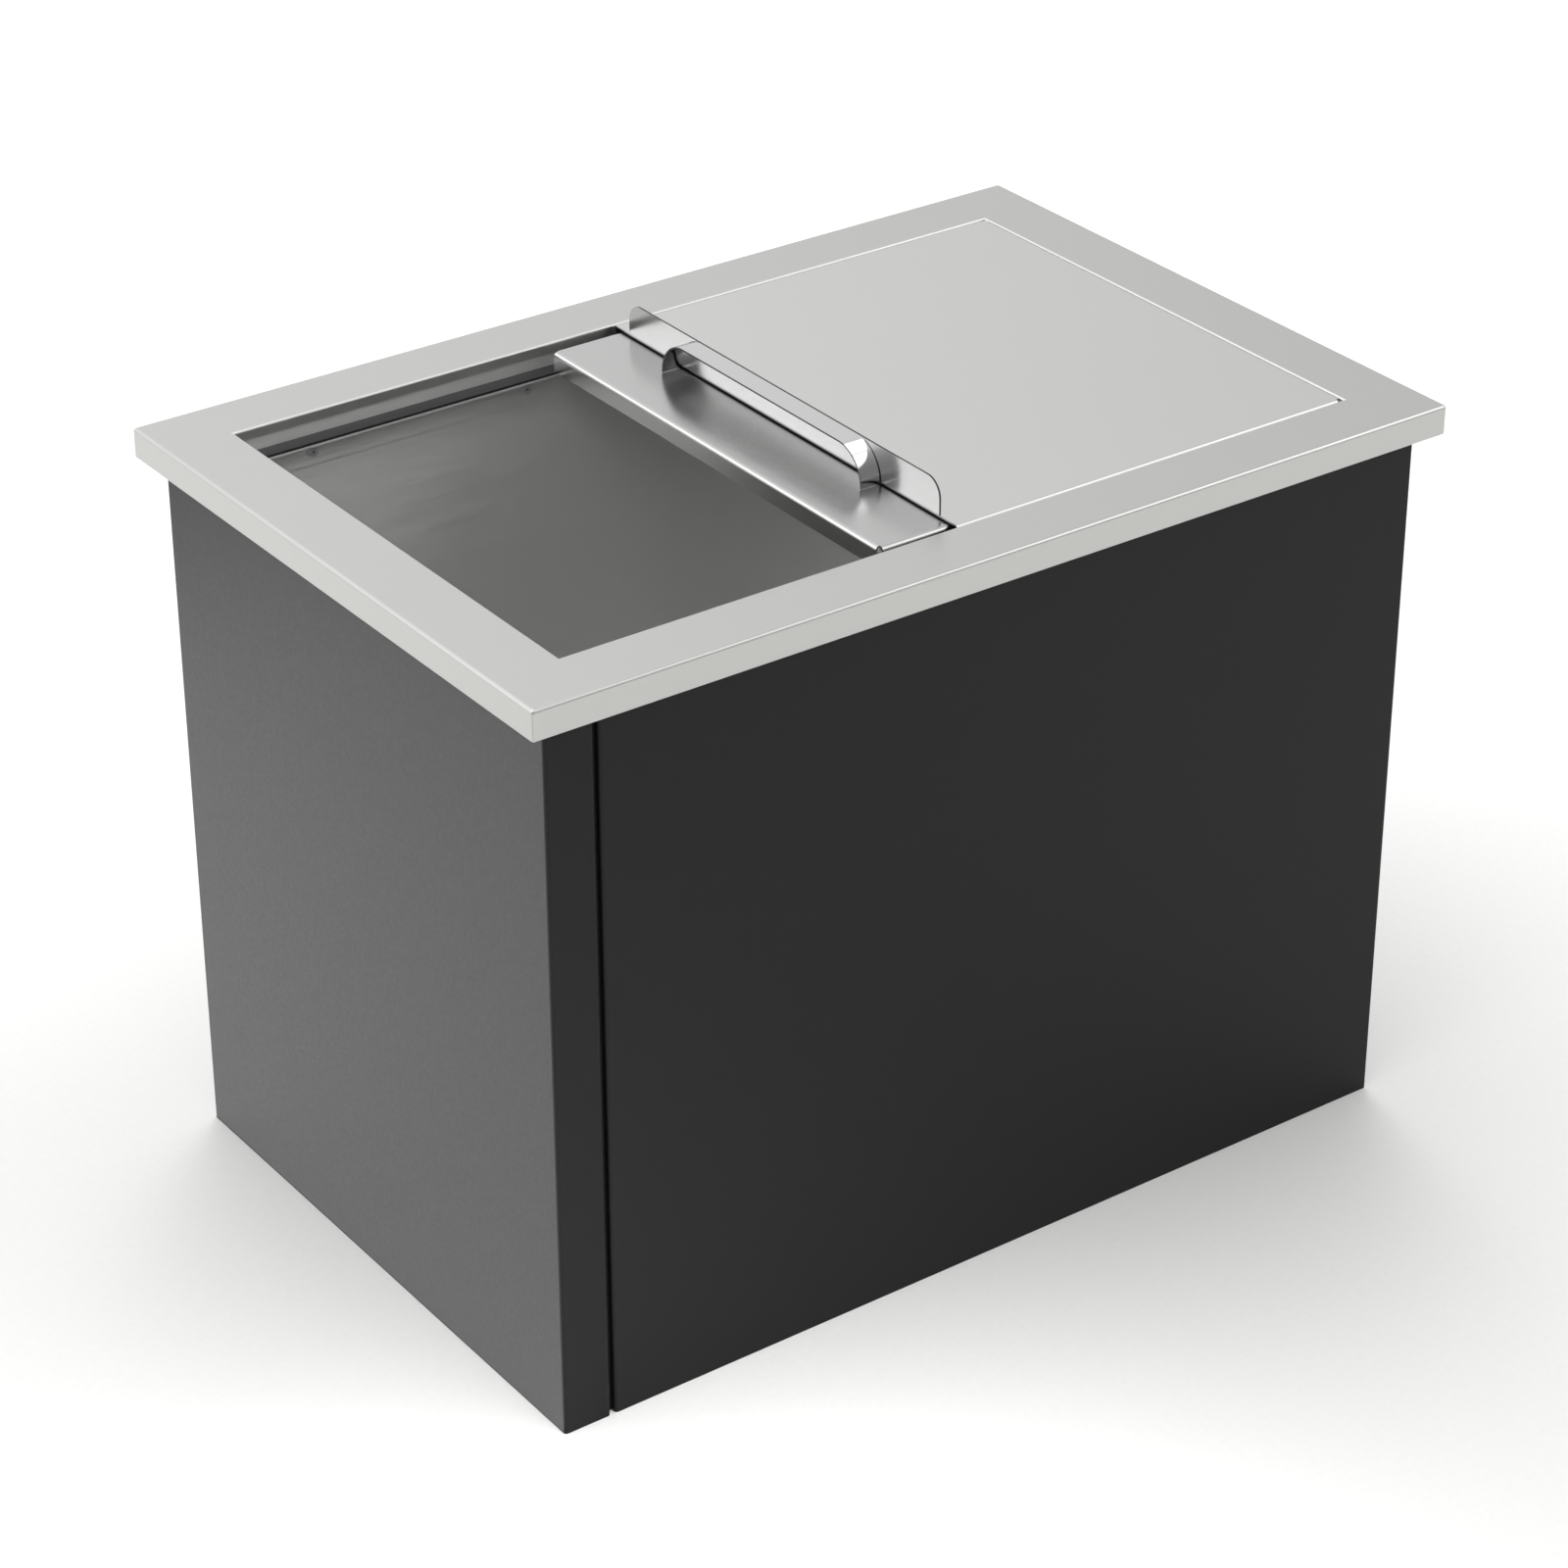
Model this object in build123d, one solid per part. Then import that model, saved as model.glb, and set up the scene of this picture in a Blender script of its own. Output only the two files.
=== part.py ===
from build123d import *
import math
import os

# Drop-in ice bin: a stainless rim and well in a black sheet casing, two sliding covers and a drain valve.
# Millimetres. X along the length, Y from front to back, Z up, origin in the middle of the base.

# Rim
rim_length = 610.0
rim_width = 406.0
rim_sheet = 1.2
rim_skirt = 17.6
rim_outer_bend = 2.0
rim_foot_bend = 0.4
rim_corner_round = 1.5
rim_lip = 6.0
rim_mouth_round = 1.3
rim_return_gap = 0.8
rim_end_border = 42.0
rim_side_border = 39.5
bin_height = 457.0

# Casing
casing_end_inset = 13.0
casing_side_inset = 11.0
casing_sheet = 1.2
casing_bend = 1.4
top_return = 12.0
bottom_return = 15.0
seam_strip = 30.0
seam_gap = 3.0
seam_fold = 14.0
seam_recess = 4.0
seam_corner_notch = 3.0

# Seam rivets
seam_rivet_radius = 2.0
seam_rivet_head_radius = 3.6
seam_rivet_head = 1.2
seam_rivet_count = 5
seam_rivet_rise = 4.8
seam_rivet_end = 62.0
seam_rivet_inset = 5.0

# Well
tub_sheet = 1.0
tub_corner_round = 1.0
tub_floor_round = 6.0
tub_floor_border = 14.0
tub_floor_fall = 4.0
drain_seat_width = 90.0

# Recessed floor of the casing
base_height = 56.0
base_sheet = 1.2
base_fold = 15.0
base_corner_round = 4.0
seam_clearance = 1.5

# Foam boards
floor_foam_thickness = 28.8
foam_top_gap = 6.0
foam_corner = 4.0

# Rails that carry the covers
rail_depth = 15.5
rail_sheet = 1.2
rail_ledge = 11.2
rail_leg = 16.0
rail_end_gap = 4.0
glide_width = 10.2
glide_thickness = 1.5
glide_chamfer = 0.7
rail_rivet_radius = 1.6
rail_rivet_head_radius = 3.2
rail_rivet_head = 1.0
rail_rivet_head_round = 0.5
rail_rivet_tail = 2.0
rail_rivet_count = 4
rail_rivet_inset = 50.0
rail_rivet_drop = 8.0
foam_pocket_gap = 0.6

# Covers
cover_sheet = 1.0
cover_bend = 1.5
cover_edge_gap = 0.6
cover_end_gap = 1.4
cover_glide_gap = 0.2
cover_overlap = 20.6
lower_cover_show = 47.7
lower_cover_drop = 2.0
cover_side_gap = 4.8
lower_cover_bend = 2.6
corner_notch = 3.0
upper_corner_notch = 2.0
stiffener_width = 26.0
stiffener_top_width = 40.0
stiffener_height = 6.5
stiffener_end_gap = 7.0
stiffener_sheet = 1.0

# Upstand and finger hood on the upper cover
upstand_height = 20.0
upstand_sheet = 1.2
upstand_end_inset = 16.5
upstand_corner_round = 11.0
hood_depth = 13.0
hood_length = 190.0
hood_sheet = 1.0
hood_straight = 0.6
hood_foot_gap = 0.4

# Drain through the well's floor
drain_tube_radius = 16.6
drain_bore_radius = 12.5
drain_flange_radius = 31.0
drain_flange_thickness = 2.0
drain_flange_round = 0.6
drain_recess_radius = 25.0
drain_recess_depth = 1.2
drain_gap = 0.4
gasket_radius = 30.0
gasket_thickness = 1.5
washer_radius = 28.0
washer_thickness = 2.0
locknut_flats = 50.0
locknut_height = 8.0
locknut_pocket = 2.0
strainer_thickness = 1.0
strainer_hole_radius = 2.0
strainer_ring_radii = (7.0, 14.0)
strainer_ring_holes = (6, 12)
strainer_gap = 0.2
thread_gap = 0.05
tube_end_above_pipe = 6.0

# Elbow and pipe under the floor
pipe_drop = 20.0
pipe_bore_radius = 7.0
elbow_socket_radius = 21.0
elbow_arm_radius = 13.5
elbow_floor = 4.0
elbow_heel = 2.0
elbow_round = 4.5
elbow_socket_gap = 2.0
pipe_thread_radius = 10.48
pipe_thread_length = 12.0

# Ball valve
valve_hex_flats = 27.0
valve_hex_length = 14.0
valve_wall = 2.8
valve_end_plug = 8.0
valve_end_hex = 11.0
ball_radius = 11.0
ball_gap = 0.05
seat_thickness = 4.0
seat_bite = 3.5
ball_chamber_gap = 1.2
stem_radius = 4.0
stem_gap = 0.05
stem_boss_radius = 8.0
stem_boss_drop = 17.5
stem_slot_depth = 3.0
stem_tang_width = 2.8
gland_flats = 14.0
gland_height = 3.5
lever_thickness = 2.5
lever_width = 16.0
lever_length = 64.0
lever_eye_radius = 11.0
lever_tip_radius = 5.0
lever_gland_gap = 0.3
stem_thread_radius = 3.0
stem_flat = 2.2
lever_nut_flats = 10.0
lever_nut_height = 4.0
stem_end_show = 1.0
sleeve_wall = 1.5
sleeve_length = 40.0
sleeve_end_wall = 2.0

# Elbow that turns the outlet down
outlet_arm_radius = 13.5
outlet_barrel_radius = 14.5
outlet_barrel_drop = 15.5
outlet_barrel_round = 5.0
outlet_arm_gap = 1.0
outlet_reach = 12.0
outlet_thread_length = 14.0

# Saddle that hangs the pipe from the casing's floor
saddle_sheet = 2.0
saddle_width = 9.5
saddle_socket_gap = 1.0
saddle_valve_gap = 0.5
saddle_foot = 13.0
saddle_gap = 0.05
screw_radius = 2.0
screw_head_radius = 4.0
screw_head = 2.4
screw_head_round = 1.2
screw_above = 4.0

# Worked out from the sizes above
casing_top = bin_height - rim_sheet
casing_length = rim_length - 2 * casing_end_inset
casing_width = rim_width - 2 * casing_side_inset
opening_length = rim_length - 2 * rim_end_border
opening_width = rim_width - 2 * rim_side_border
skirt_bottom = bin_height - rim_skirt
tub_inner_length = opening_length + 2 * rim_sheet
tub_inner_width = opening_width + 2 * rim_sheet
tub_outer_length = tub_inner_length + 2 * tub_sheet
tub_outer_width = tub_inner_width + 2 * tub_sheet
base_top = base_height + base_sheet
pipe_height = base_height - pipe_drop
tub_floor = base_top + floor_foam_thickness + tub_sheet
tub_drain_floor = tub_floor - tub_floor_fall
foam_top = casing_top - foam_top_gap
rail_top = bin_height - rail_depth
glide_top = rail_top + glide_thickness
cover_foot = glide_top + cover_glide_gap
cover_length = opening_length / 2 - cover_end_gap + cover_overlap / 2
upper_cover_right = opening_length / 2 - cover_end_gap
upper_cover_left = upper_cover_right - cover_length
upper_cover_width = opening_width - 2 * cover_edge_gap
lower_cover_top = bin_height - lower_cover_drop
lower_cover_width = upper_cover_width - 2 * cover_sheet - 2 * cover_side_gap
lower_cover_left = upper_cover_left - lower_cover_show
lower_cover_centre = lower_cover_left + cover_length / 2
hood_foot = lower_cover_top + hood_foot_gap
seam_strip_edge = -casing_length / 2 + seam_strip
seam_panel_edge = seam_strip_edge + seam_gap
drain_top = tub_drain_floor + gasket_thickness + drain_flange_thickness
drain_end = pipe_height + tube_end_above_pipe
washer_top = tub_drain_floor - tub_sheet
locknut_top = washer_top - washer_thickness
valve_start = elbow_socket_radius + saddle_socket_gap + saddle_width + saddle_valve_gap
valve_chamber_radius = ball_radius + ball_chamber_gap
valve_barrel_radius = valve_chamber_radius + valve_wall
valve_hex_end = valve_start + valve_hex_length
ball_centre = valve_hex_end + seat_thickness + ball_radius - seat_bite
valve_plug_start = 2 * ball_centre - valve_hex_end
valve_barrel_end = valve_plug_start + valve_end_plug
valve_end_face = valve_barrel_end + valve_end_hex
valve_thread_end = valve_end_face + pipe_thread_length
outlet_centre = valve_thread_end + outlet_reach
stem_boss_bottom = pipe_height - stem_boss_drop
gland_bottom = stem_boss_bottom - gland_height
saddle_centre = elbow_socket_radius + saddle_socket_gap + saddle_width / 2
lever_top = gland_bottom - lever_gland_gap
lever_bottom = lever_top - lever_thickness
lever_nut_bottom = lever_bottom - lever_nut_height


def block(x, y, z):
    # A box between pairs of limits.
    size = [b - a for a, b in (x, y, z)]
    middle = [(a + b) / 2 for a, b in (x, y, z)]
    return Pos(*middle) * Box(*size)


def centred_block(length, width, z):
    return block((-length / 2, length / 2), (-width / 2, width / 2), z)


def rounded_block(length, width, z, radius):
    # A box with round upright corners.
    outline = RectangleRounded(length, width, radius)
    return Pos(0, 0, z[0]) * extrude(outline, z[1] - z[0])


def rod(radius, z):
    return Pos(0, 0, (z[0] + z[1]) / 2) * Cylinder(radius, z[1] - z[0])


def rod_x(radius, x):
    return Pos((x[0] + x[1]) / 2, 0, 0) * Rot(0, 90, 0) * Cylinder(radius, x[1] - x[0])


def rod_y(radius, y):
    return Pos(0, (y[0] + y[1]) / 2, 0) * Rot(90, 0, 0) * Cylinder(radius, y[1] - y[0])


def hexagon(flats, z):
    outline = RegularPolygon(flats / 2, 6, major_radius=False)
    return Pos(0, 0, z[0]) * extrude(outline, z[1] - z[0])


def hexagon_x(flats, x):
    return Pos(x[0], 0, 0) * Rot(0, 90, 0) * hexagon(flats, (0, x[1] - x[0]))


def half_turn(solid):
    # The same piece at the opposite corner.
    return Rot(0, 0, 180) * solid


def spread(count, first, last):
    return [first + (last - first) * i / (count - 1) for i in range(count)]


def top_flange():
    outer = rounded_block(rim_length, rim_width, (skirt_bottom, bin_height), rim_corner_round)
    outer = fillet(outer.faces().sort_by(Axis.Z)[-1].edges(), rim_outer_bend)
    outer = fillet(outer.faces().sort_by(Axis.Z)[0].edges(), rim_foot_bend)
    hollow = centred_block(
        rim_length - 2 * rim_sheet, rim_width - 2 * rim_sheet, (skirt_bottom + rim_sheet, casing_top)
    )
    hollow = fillet(hollow.faces().sort_by(Axis.Z)[-1].edges(), rim_outer_bend - rim_sheet)
    inner_length = casing_length + 2 * rim_return_gap
    inner_width = casing_width + 2 * rim_return_gap
    passage = centred_block(inner_length, inner_width, (skirt_bottom, casing_top))
    lip_bottom = bin_height - rim_lip
    lip = rounded_block(tub_inner_length, tub_inner_width, (lip_bottom, casing_top), tub_corner_round)
    shell = outer - hollow - passage + lip
    shell -= centred_block(opening_length, opening_width, (lip_bottom, bin_height))
    mouth = [
        e
        for e in shell.edges().group_by(Axis.Z)[-1]
        if abs(e.center().X) < tub_inner_length / 2 and abs(e.center().Y) < tub_inner_width / 2
    ]
    return fillet(mouth, rim_mouth_round)


def tub_form(length, width, corner, floor, floor_round, top):
    # The well's outside or inside: upright walls, rounded floor edge and a shallow fall to the drain.
    walls = rounded_block(length, width, (floor, top), corner)
    walls = fillet(walls.faces().sort_by(Axis.Z)[0].edges(), floor_round)
    border = tub_floor_border + floor_round
    upper = Pos(0, 0, floor) * Rectangle(length - 2 * border, width - 2 * border)
    lower = Pos(0, 0, floor - tub_floor_fall) * Rectangle(drain_seat_width, drain_seat_width)
    return walls + loft([upper, lower], ruled=True)


def inner_tub():
    outer = tub_form(
        tub_outer_length,
        tub_outer_width,
        tub_corner_round + tub_sheet,
        tub_floor - tub_sheet,
        tub_floor_round + tub_sheet,
        casing_top,
    )
    inner = tub_form(
        tub_inner_length, tub_inner_width, tub_corner_round, tub_floor, tub_floor_round, casing_top
    )
    tub = outer - inner
    tub -= rod(drain_tube_radius + drain_gap, (tub_drain_floor - 2 * tub_sheet, tub_drain_floor + tub_sheet))
    for x in rail_rivet_places():
        hole = Pos(x, 0, rail_rivet_height()) * rod_y(rail_rivet_radius, (-tub_outer_width, tub_outer_width))
        tub -= hole
    return tub


def rail_rivet_height():
    return rail_top - rail_sheet - rail_rivet_drop


def rail_rivet_places():
    last = tub_inner_length / 2 - rail_rivet_inset
    return spread(rail_rivet_count, -last, last)


def front_rail():
    wall = -tub_inner_width / 2
    half = tub_inner_length / 2 - rail_end_gap
    ledge_bottom = rail_top - rail_sheet
    rail = block((-half, half), (wall, wall + rail_ledge), (ledge_bottom, rail_top))
    rail += block((-half, half), (wall, wall + rail_sheet), (ledge_bottom - rail_leg, ledge_bottom))
    for x in rail_rivet_places():
        rail -= Pos(x, wall, rail_rivet_height()) * rod_y(rail_rivet_radius, (-rail_ledge, rail_ledge))
    return rail


def front_glide():
    edge = -tub_inner_width / 2 + rail_ledge
    half = tub_inner_length / 2 - rail_end_gap
    glide = block((-half, half), (edge - glide_width, edge), (rail_top, glide_top))
    upper = glide.faces().sort_by(Axis.Z)[-1].edges().filter_by(Axis.Y)
    return chamfer(upper, glide_chamfer)


def front_rail_rivets():
    wall = -tub_inner_width / 2
    head_y = wall + rail_sheet
    rivets = []
    for x in rail_rivet_places():
        shank = rod_y(rail_rivet_radius, (wall - tub_sheet - rail_rivet_tail, head_y))
        head = rod_y(rail_rivet_head_radius, (head_y, head_y + rail_rivet_head))
        head = fillet(head.edges().sort_by(Axis.Y)[-1], rail_rivet_head_round)
        rivets.append(Pos(x, 0, rail_rivet_height()) * (shank + head))
    return rivets


def front_right_panel():
    # Front and right side in one sheet, with folded edges at both seams and returns at top and bottom.
    half_x, half_y, mid = casing_length / 2, casing_width / 2, casing_sheet / 2
    rear_seam = half_x - seam_strip
    path = FilletPolyline(
        (seam_panel_edge + mid, -half_y + seam_fold),
        (seam_panel_edge + mid, -half_y + mid),
        (half_x - mid, -half_y + mid),
        (half_x - mid, half_y - mid),
        (rear_seam + mid, half_y - mid),
        (rear_seam + mid, half_y - seam_fold),
        radius=casing_bend,
    )
    panel = extrude(trace(path, casing_sheet), casing_top)
    panel += return_band(bottom_return, 0)
    panel += return_band(top_return, casing_top - casing_sheet)
    for z in seam_rivet_heights():
        panel -= front_seam_drill(z)
        panel -= half_turn(front_seam_drill(z))
    return panel


def return_band(width, z):
    half_x, half_y = casing_length / 2, casing_width / 2
    start = seam_panel_edge + seam_corner_notch
    end = half_x - seam_strip + seam_corner_notch
    outline = Polyline(
        (start, -half_y),
        (half_x, -half_y),
        (half_x, half_y),
        (end, half_y),
        (end, half_y - width),
        (half_x - width, half_y - width),
        (half_x - width, -half_y + width),
        (start, -half_y + width),
        close=True,
    )
    band = Pos(0, 0, z) * extrude(make_face(outline), casing_sheet)
    corner = casing_bend + casing_sheet / 2
    return band & rounded_block(casing_length, casing_width, (z, z + casing_sheet), corner)


def seam_rivet_heights():
    return spread(seam_rivet_count, base_top + seam_rivet_rise, casing_top - seam_rivet_end)


def front_seam_drill(z):
    y = -casing_width / 2 + seam_fold - seam_rivet_inset
    reach = (seam_strip_edge - 2 * casing_sheet, seam_panel_edge + 2 * casing_sheet)
    return Pos(0, y, z) * rod_x(seam_rivet_radius, reach)


def front_seam_bar():
    front = -casing_width / 2
    bar = block(
        (seam_strip_edge, seam_panel_edge), (front + seam_recess, front + seam_fold), (0, casing_top)
    )
    for z in seam_rivet_heights():
        bar -= front_seam_drill(z)
    return bar


def front_seam_rivets():
    y = -casing_width / 2 + seam_fold - seam_rivet_inset
    left, right = seam_strip_edge - casing_sheet, seam_panel_edge + casing_sheet
    rivets = []
    for z in seam_rivet_heights():
        rivet = rod_x(seam_rivet_radius, (left, right))
        rivet += rod_x(seam_rivet_head_radius, (left - seam_rivet_head, left))
        rivet += rod_x(seam_rivet_head_radius, (right, right + seam_rivet_head))
        rivets.append(Pos(0, y, z) * rivet)
    return rivets


def seam_space(z, extra):
    # Room round the front seam's folded edges and rivets.
    reach = casing_sheet + seam_rivet_head + extra
    front = -casing_width / 2
    x = (seam_strip_edge - reach, seam_panel_edge + reach)
    return block(x, (front, front + seam_fold + extra), z)


def base_pan():
    length, width = casing_length - 2 * casing_sheet, casing_width - 2 * casing_sheet
    low = base_top - base_fold
    pan = rounded_block(length, width, (low, base_top), base_corner_round)
    pan -= rounded_block(
        length - 2 * base_sheet, width - 2 * base_sheet, (low, base_height), base_corner_round - base_sheet
    )
    notch = seam_space((low, base_top), seam_clearance)
    pan -= notch
    pan -= half_turn(notch)
    pan -= rod(drain_tube_radius + drain_gap, (base_height, base_top))
    for x, y in saddle_screw_places():
        pan -= Pos(x, y, 0) * rod(screw_radius, (base_height, base_top))
    return pan


def side_foam_right():
    x = (tub_outer_length / 2, casing_length / 2 - casing_sheet)
    half = casing_width / 2 - casing_sheet
    board = block(x, (-half, half), (base_top, foam_top))
    outer = board.edges().filter_by(Axis.Z).group_by(Axis.X)[-1]
    board = chamfer(outer, foam_corner)
    return board - half_turn(seam_space((base_top, foam_top), seam_clearance))


def front_foam():
    left = seam_panel_edge + casing_sheet + seam_rivet_head + seam_clearance
    y = (-casing_width / 2 + casing_sheet, -tub_outer_width / 2)
    board = block((left, tub_outer_length / 2), y, (base_top, foam_top))
    pocket = rail_rivet_radius + foam_pocket_gap
    depth = rail_rivet_tail + foam_pocket_gap
    for x in rail_rivet_places():
        board -= Pos(x, 0, rail_rivet_height()) * rod_y(pocket, (y[1] - depth, y[1]))
    return board


def floor_foam():
    board = centred_block(tub_outer_length, tub_outer_width, (base_top, tub_floor - tub_sheet))
    corner = tub_corner_round + tub_sheet
    board -= tub_form(
        tub_outer_length,
        tub_outer_width,
        corner,
        tub_floor - tub_sheet,
        tub_floor_round + tub_sheet,
        casing_top,
    )
    board -= rod(drain_tube_radius + locknut_pocket, (base_top, tub_floor))
    board -= rod(locknut_flats / math.sqrt(3) + locknut_pocket, (locknut_top - locknut_height, tub_floor))
    return board


def upper_cover():
    # A plate with its front and rear edges folded down to the glides, notched where they end at the right.
    mid = cover_sheet / 2
    half = upper_cover_width / 2
    path = FilletPolyline(
        (-half + mid, cover_foot),
        (-half + mid, bin_height - mid),
        (half - mid, bin_height - mid),
        (half - mid, cover_foot),
        radius=cover_bend,
    )
    section = Plane.YZ * trace(path, cover_sheet)
    cover = Pos(upper_cover_left, 0, 0) * extrude(section, cover_length)
    notch = centred_block(2 * upper_corner_notch, 2 * upper_corner_notch, (cover_foot, bin_height))
    for y in (-half, half):
        cover -= Pos(upper_cover_right, y, 0) * notch
    return cover


def cover_upstand():
    half = opening_width / 2 - upstand_end_inset
    outline = Plane.YZ * Rectangle(2 * half, upstand_height)
    x = upper_cover_left
    plate = Pos(x, 0, bin_height + upstand_height / 2) * extrude(outline, upstand_sheet)
    upper = plate.edges().filter_by(Axis.X).group_by(Axis.Z)[-1]
    return fillet(upper, upstand_corner_round)


def hood_form(length, height, corner, depth):
    # An arch seen from the left, standing on the hood's foot.
    outline = Plane.YZ * Rectangle(length, height)
    form = Pos(upper_cover_left, 0, hood_foot + height / 2) * extrude(outline, -depth)
    return fillet(form.edges().filter_by(Axis.X).group_by(Axis.Z)[-1], corner)


def finger_hood():
    # Its ends reach down in front of the upper cover's cut edge, to just above the lower cover.
    height = bin_height + upstand_height - hood_foot
    corner = height - hood_straight
    outer = hood_form(hood_length, height, corner, hood_depth)
    inner = hood_form(hood_length - 2 * hood_sheet, height - hood_sheet, corner - hood_sheet, hood_depth)
    return outer - inner


def lower_cover():
    # A shallow tray upside down, its four edges folded down and notched at the corners.
    half = lower_cover_width / 2
    x = (lower_cover_left, lower_cover_left + cover_length)
    tray = block(x, (-half, half), (cover_foot, lower_cover_top))
    tray = fillet(tray.faces().sort_by(Axis.Z)[-1].edges(), lower_cover_bend)
    inner_x = (x[0] + cover_sheet, x[1] - cover_sheet)
    inner_y = (-half + cover_sheet, half - cover_sheet)
    hollow = block(inner_x, inner_y, (cover_foot, lower_cover_top - cover_sheet))
    tray -= fillet(hollow.faces().sort_by(Axis.Z)[-1].edges(), lower_cover_bend - cover_sheet)
    for px in x:
        for py in (-half, half):
            notch = centred_block(2 * corner_notch, 2 * corner_notch, (cover_foot, lower_cover_top))
            tray -= Pos(px, py, 0) * notch
    return tray


def lower_cover_stiffener():
    # A folded channel glued under the lower cover, from front to back.
    half = lower_cover_width / 2 - cover_sheet - stiffener_end_gap
    top = lower_cover_top - cover_sheet
    mid = stiffener_sheet / 2
    path = FilletPolyline(
        (-stiffener_top_width / 2, top - mid),
        (-stiffener_width / 2, top - mid),
        (-stiffener_width / 2, top - stiffener_height + mid),
        (stiffener_width / 2, top - stiffener_height + mid),
        (stiffener_width / 2, top - mid),
        (stiffener_top_width / 2, top - mid),
        radius=stiffener_sheet,
    )
    section = Plane.XZ * trace(path, stiffener_sheet)
    return Pos(lower_cover_centre, half, 0) * extrude(section, 2 * half)


def drain_strainer():
    seat = drain_top - drain_recess_depth
    disc = rod(drain_recess_radius - strainer_gap, (seat, seat + strainer_thickness))
    hole = rod(strainer_hole_radius, (seat, seat + strainer_thickness))
    disc -= hole
    for radius, count in zip(strainer_ring_radii, strainer_ring_holes):
        for turn in range(count):
            disc -= Rot(0, 0, 360 * turn / count) * Pos(radius, 0, 0) * hole
    return disc


def drain_body():
    flange_bottom = drain_top - drain_flange_thickness
    body = rod(drain_flange_radius, (flange_bottom, drain_top))
    body = fillet(body.edges().sort_by(Axis.Z)[-1], drain_flange_round)
    body += rod(drain_tube_radius, (drain_end, flange_bottom))
    body -= rod(drain_bore_radius, (drain_end, drain_top))
    return body - rod(drain_recess_radius, (drain_top - drain_recess_depth, drain_top))


def drain_ring(radius, top, thickness):
    z = (top - thickness, top)
    return rod(radius, z) - rod(drain_tube_radius + thread_gap, z)


def drain_gasket():
    return drain_ring(gasket_radius, tub_drain_floor + gasket_thickness, gasket_thickness)


def drain_washer():
    return drain_ring(washer_radius, washer_top, washer_thickness)


def drain_locknut():
    z = (locknut_top - locknut_height, locknut_top)
    return hexagon(locknut_flats, z) - rod(drain_tube_radius + thread_gap, z)


def drain_elbow():
    # The drain's tube goes down into its socket, and its arm runs level to the valve.
    socket_top = base_height - elbow_socket_gap
    socket_bottom = pipe_height - elbow_arm_radius - elbow_heel
    elbow = rod(elbow_socket_radius, (socket_bottom, socket_top))
    elbow = fillet(elbow.edges().sort_by(Axis.Z)[0], elbow_round)
    arm_end = valve_start
    elbow += Pos(0, 0, pipe_height) * rod_x(elbow_arm_radius, (0, arm_end))
    elbow += Pos(0, 0, pipe_height) * rod_x(pipe_thread_radius, (arm_end, arm_end + pipe_thread_length))
    elbow -= rod(drain_tube_radius + thread_gap, (drain_end, socket_top))
    elbow -= rod(drain_bore_radius, (socket_bottom + elbow_floor, drain_end))
    bore = rod_x(pipe_bore_radius, (0, arm_end + pipe_thread_length))
    return elbow - Pos(0, 0, pipe_height) * bore


def valve_body():
    body = hexagon_x(valve_hex_flats, (valve_start, valve_hex_end))
    body += rod_x(valve_barrel_radius, (valve_hex_end, valve_barrel_end))
    boss = rod(stem_boss_radius, (stem_boss_bottom - pipe_height, 0))
    body += Pos(ball_centre, 0, 0) * boss
    body -= rod_x(pipe_thread_radius + thread_gap, (valve_start, valve_start + pipe_thread_length))
    body -= rod_x(pipe_bore_radius, (valve_start, valve_hex_end))
    body -= rod_x(valve_chamber_radius, (valve_hex_end, valve_barrel_end))
    stem_hole = rod(stem_radius + stem_gap, (stem_boss_bottom - pipe_height, 0))
    return Pos(0, 0, pipe_height) * (body - Pos(ball_centre, 0, 0) * stem_hole)


def valve_end():
    # The end piece is screwed in until the second seat touches the ball.
    start = valve_plug_start
    end = valve_barrel_end
    body = rod_x(valve_chamber_radius - thread_gap, (start, end))
    body += hexagon_x(valve_hex_flats, (end, valve_end_face))
    body += rod_x(pipe_thread_radius, (valve_end_face, valve_thread_end))
    body -= rod_x(pipe_bore_radius, (start, valve_thread_end))
    return Pos(0, 0, pipe_height) * body


def valve_seats():
    ball = Pos(ball_centre, 0, 0) * Rot(0, 90, 0) * Sphere(ball_radius + ball_gap)
    seats = []
    first = (valve_hex_end, valve_hex_end + seat_thickness)
    second = (valve_plug_start - seat_thickness, valve_plug_start)
    for x in (first, second):
        seat = rod_x(valve_chamber_radius - thread_gap, x) - rod_x(pipe_bore_radius, x) - ball
        seats.append(Pos(0, 0, pipe_height) * seat)
    return seats


def valve_ball():
    # Shut at rest: the bore lies across the pipe.
    ball = Sphere(ball_radius)
    ball -= rod_y(pipe_bore_radius, (-ball_radius, ball_radius))
    slot_half = stem_tang_width / 2 + stem_gap
    slot_z = (-ball_radius, -ball_radius + stem_slot_depth)
    ball -= block((-slot_half, slot_half), (-ball_radius, ball_radius), slot_z)
    return Pos(ball_centre, 0, pipe_height) * ball


def flatted_rod(z):
    # The stem's end has two flats that turn it with the lever.
    flats = block((-stem_flat, stem_flat), (-stem_thread_radius, stem_thread_radius), z)
    return rod(stem_thread_radius, z) & flats


def valve_stem():
    top = -ball_radius + stem_slot_depth - ball_gap
    shoulder = -ball_radius - ball_gap
    end = lever_nut_bottom - stem_end_show - pipe_height
    stem = rod(stem_radius, (lever_top - pipe_height, shoulder))
    tang = block((-stem_tang_width / 2, stem_tang_width / 2), (-stem_radius, stem_radius), (shoulder, top))
    stem += tang & rod(stem_radius, (shoulder, top))
    stem += flatted_rod((end, lever_top - pipe_height))
    return Pos(ball_centre, 0, pipe_height) * stem


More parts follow.
